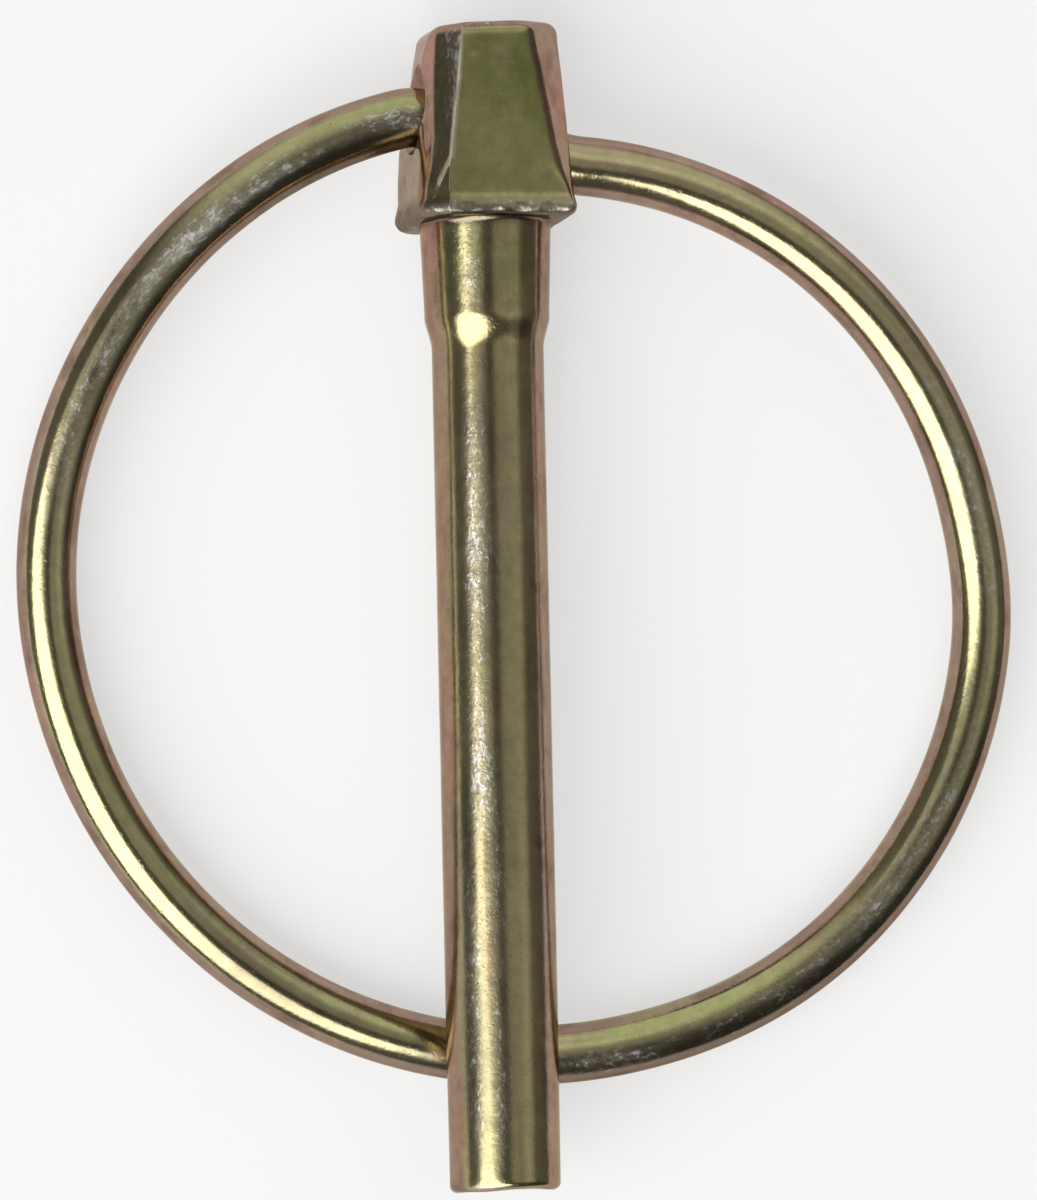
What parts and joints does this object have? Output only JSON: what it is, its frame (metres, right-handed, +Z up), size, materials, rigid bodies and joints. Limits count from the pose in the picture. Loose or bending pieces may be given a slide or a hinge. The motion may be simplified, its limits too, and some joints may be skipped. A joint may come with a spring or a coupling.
{
  "type": "lynch pin",
  "caption": "Lynch pin with a tapered square head and a spring wire ring, which swings over the head and closes behind the shank to keep the pin in its hole.",
  "frame": {"origin": "on the surface that the pin lies on, under the middle of its bounding box", "axes": "+Y runs along the lying pin towards its head, +X to the right seen from above with the head away, +Z up"},
  "size_m": [0.0406, 0.0469, 0.0071],
  "materials": {
    "pin_plating": "yellow zinc plated forging, glossy, with light scuffs",
    "ring_plating": "yellow zinc plated spring wire, glossy, with light scuffs"
  },
  "bodies": {
    "pin": {"pin": "pin_plating"},
    "ring": {"ring": "ring_plating"}
  },
  "joints": [
    {"name": "ring_flip", "type": "hinge", "parent": "pin", "child": "ring", "pos_m": [-0.00136, 0.01887, 0.003], "axis": [0.9551, -0.2962, -0.0089], "range_deg": [0, 348.6]}
  ]
}
